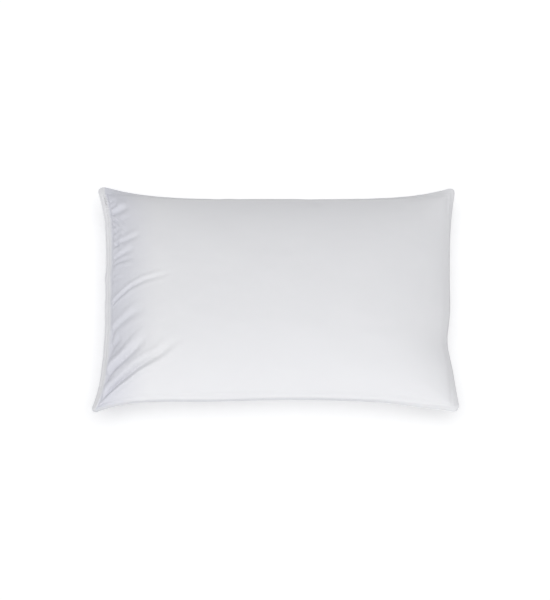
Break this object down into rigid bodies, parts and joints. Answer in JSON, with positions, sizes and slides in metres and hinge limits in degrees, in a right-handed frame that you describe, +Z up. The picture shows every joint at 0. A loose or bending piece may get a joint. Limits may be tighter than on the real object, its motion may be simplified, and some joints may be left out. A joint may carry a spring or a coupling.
{
  "type": "bed pillow",
  "caption": "Plain rectangular bed pillow of fine white cotton with a flat twin-stitched flange, soft pointed corners and a gathered closing end.",
  "frame": {"origin": "on the resting plane, under the middle of the pillow", "axes": "+X along the pillow away from the closing end, +Y towards the rear long side, +Z up through the crown"},
  "size_m": [0.73, 0.486, 0.1481],
  "materials": {
    "cotton": "matte",
    "fill_fibre": "matte",
    "thread": "satin",
    "label_satin": "satin"
  },
  "bodies": {
    "root": {"upper_panel": "cotton", "lower_panel": "cotton", "fill": "fill_fibre", "side_outer_needle_thread": "thread", "side_outer_bobbin_thread": "thread", "side_inner_needle_thread": "thread", "side_inner_bobbin_thread": "thread", "closing_outer_needle_thread": "thread", "closing_outer_bobbin_thread": "thread", "closing_inner_needle_thread": "thread", "closing_inner_bobbin_thread": "thread", "closing_lock_tack": "thread", "care_label": "label_satin"}
  },
  "joints": []
}
